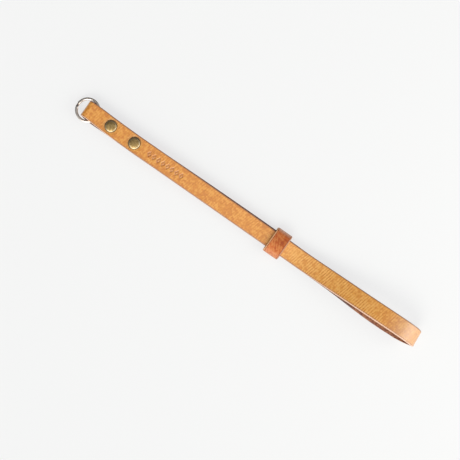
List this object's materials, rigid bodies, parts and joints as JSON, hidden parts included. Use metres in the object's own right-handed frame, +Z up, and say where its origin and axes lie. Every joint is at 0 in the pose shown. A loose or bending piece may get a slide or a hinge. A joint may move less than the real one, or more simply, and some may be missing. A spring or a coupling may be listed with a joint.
{
  "type": "camera wrist strap",
  "caption": "Narrow leather wrist strap doubled into a long loop, with a sliding leather keeper, a riveted folded eye and a split ring for a camera lug.",
  "frame": {"origin": "on the table under the middle of the strap's bounding box", "axes": "+X along the strap from the split ring to the wrist loop, +Y across it, +Z up from the table"},
  "size_m": [0.2336, 0.016, 0.0192],
  "materials": {
    "tan_leather": "smooth vegetable-tanned leather, golden tan, with light cross creases and burnished edges",
    "brown_leather": "smooth red-brown leather with pale bevelled cut edges",
    "antique_brass": "antiqued, dark olive-brown with bright worn rims",
    "nickel_steel": "polished nickel plate"
  },
  "bodies": {
    "strap_body": {"strap": "tan_leather", "keeper": "brown_leather", "rivet_1_base": "antique_brass", "rivet_1_cap": "antique_brass", "rivet_2_base": "antique_brass", "rivet_2_cap": "antique_brass"},
    "ring_body": {"split_ring": "nickel_steel"}
  },
  "joints": [
    {"name": "ring_turn", "type": "hinge", "parent": "strap_body", "child": "ring_body", "pos_m": [-0.10963, 0.00043, 0.0043], "axis": [0, 0, 1], "continuous": true}
  ]
}
